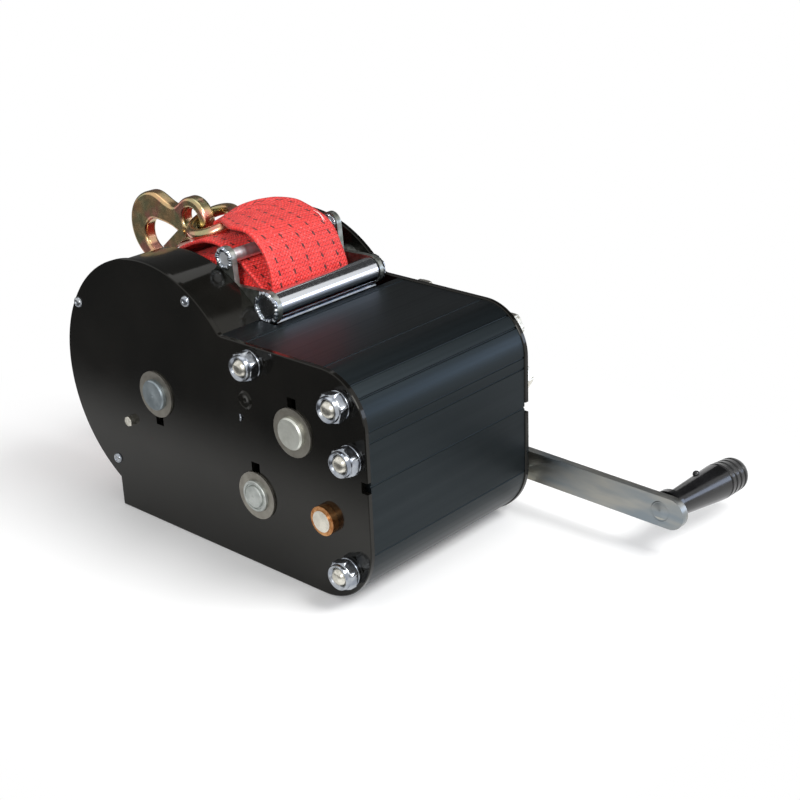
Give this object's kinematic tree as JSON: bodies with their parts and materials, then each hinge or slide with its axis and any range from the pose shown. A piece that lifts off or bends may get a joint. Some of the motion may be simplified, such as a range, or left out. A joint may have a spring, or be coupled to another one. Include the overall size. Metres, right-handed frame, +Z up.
{
  "type": "hand strap winch",
  "caption": "Hand-cranked strap winch: side plates, strap drum with snap hook, roller guide, tie bolts and a crank arm with turning grip.",
  "frame": {"origin": "on the base, in the middle of its four mounting holes", "axes": "+X along the drum shaft towards the crank side, -Y towards the front housing, +Z up"},
  "size_m": [0.2935, 0.438, 0.2243],
  "materials": {
    "black_plate": "gloss black coat",
    "black_anodised": "satin black anodised",
    "zinc_fastener": "bright zinc plate",
    "turned_steel": "turned steel",
    "bronze": "sintered bronze",
    "bright_zinc": "bright zinc plate",
    "drum_steel": "zinc-plated steel",
    "red_webbing": "woven polyester webbing",
    "yellow_zinc": "yellow passivated zinc plate",
    "zinc_arm": "dull zinc plate",
    "grip_plastic": "moulded black plastic"
  },
  "bodies": {
    "frame": {"base_plate": "black_anodised", "bronze_bush": "bronze", "cover_screws": "zinc_fastener", "crank_bush": "turned_steel", "drum_bush_left": "turned_steel", "drum_bush_right": "turned_steel", "free_strap": "red_webbing", "front_housing": "black_anodised", "gear_cover_band": "black_plate", "guide_bar": "bright_zinc", "guide_bracket_left": "bright_zinc", "guide_bracket_right": "bright_zinc", "guide_rod": "bright_zinc", "inner_side_plate": "black_plate", "latch_pin": "yellow_zinc", "left_side_plate": "black_plate", "lock_nut_corner": "zinc_fastener", "lock_nut_front": "zinc_fastener", "lock_nut_low": "zinc_fastener", "lock_nut_top": "zinc_fastener", "lower_bush_left": "turned_steel", "lower_bush_right": "turned_steel", "right_side_plate": "black_plate", "roller_pin": "bright_zinc", "small_bolt": "zinc_fastener", "snap_hook": "yellow_zinc", "strap_ring": "yellow_zinc", "tie_bolt_corner": "zinc_fastener", "tie_bolt_front": "zinc_fastener", "tie_bolt_low": "zinc_fastener", "tie_bolt_top": "zinc_fastener", "upper_bush_left": "turned_steel", "upper_bush_right": "turned_steel"},
    "drum": {"drum_shaft": "turned_steel", "drum_core": "drum_steel", "wound_strap": "red_webbing"},
    "upper_gear": {"upper_shaft": "turned_steel"},
    "lower_gear": {"lower_shaft": "turned_steel"},
    "pinion": {"pinion_shaft": "turned_steel"},
    "crank": {"crank_shaft": "turned_steel", "crank_arm": "zinc_arm", "grip_pin": "turned_steel"},
    "grip": {"handle_grip": "grip_plastic"},
    "roller": {"guide_roller": "bright_zinc"},
    "latch": {"hook_latch": "yellow_zinc"}
  },
  "joints": [
    {"name": "drum_turn", "type": "hinge", "parent": "frame", "child": "drum", "pos_m": [0, 0.053, 0.105], "axis": [1, 0, 0], "continuous": true},
    {"name": "upper_gear_turn", "type": "hinge", "parent": "frame", "child": "upper_gear", "pos_m": [0, -0.0873, 0.1135], "axis": [1, 0, 0], "continuous": true},
    {"name": "lower_gear_turn", "type": "hinge", "parent": "frame", "child": "lower_gear", "pos_m": [0, -0.047, 0.0555], "axis": [1, 0, 0], "continuous": true},
    {"name": "pinion_turn", "type": "hinge", "parent": "frame", "child": "pinion", "pos_m": [-0.06, -0.1141, 0.0588], "axis": [1, 0, 0], "continuous": true},
    {"name": "crank_turn", "type": "hinge", "parent": "frame", "child": "crank", "pos_m": [0.083, -0.0837, 0.0374], "axis": [1, 0, 0], "continuous": true},
    {"name": "grip_spin", "type": "hinge", "parent": "crank", "child": "grip", "pos_m": [0.0975, -0.25467, 0.03442], "axis": [0.9962, 0, -0.0872], "continuous": true},
    {"name": "roller_spin", "type": "hinge", "parent": "frame", "child": "roller", "pos_m": [0.02, -0.0238, 0.1739], "axis": [1, 0, 0], "continuous": true},
    {"name": "hook_latch_swing", "type": "hinge", "parent": "frame", "child": "latch", "pos_m": [0, 0.1005, 0.1975], "axis": [1, 0, 0], "range_deg": [0, 25], "stiffness_Nm_per_rad": 0.05, "springref_deg": -17.19}
  ],
  "couplings": [
    {"joint": "lower_gear_turn", "follows": "drum_turn", "ratio": -3},
    {"joint": "upper_gear_turn", "follows": "drum_turn", "ratio": 4.5},
    {"joint": "pinion_turn", "follows": "drum_turn", "ratio": 6},
    {"joint": "crank_turn", "follows": "drum_turn", "ratio": -12}
  ]
}
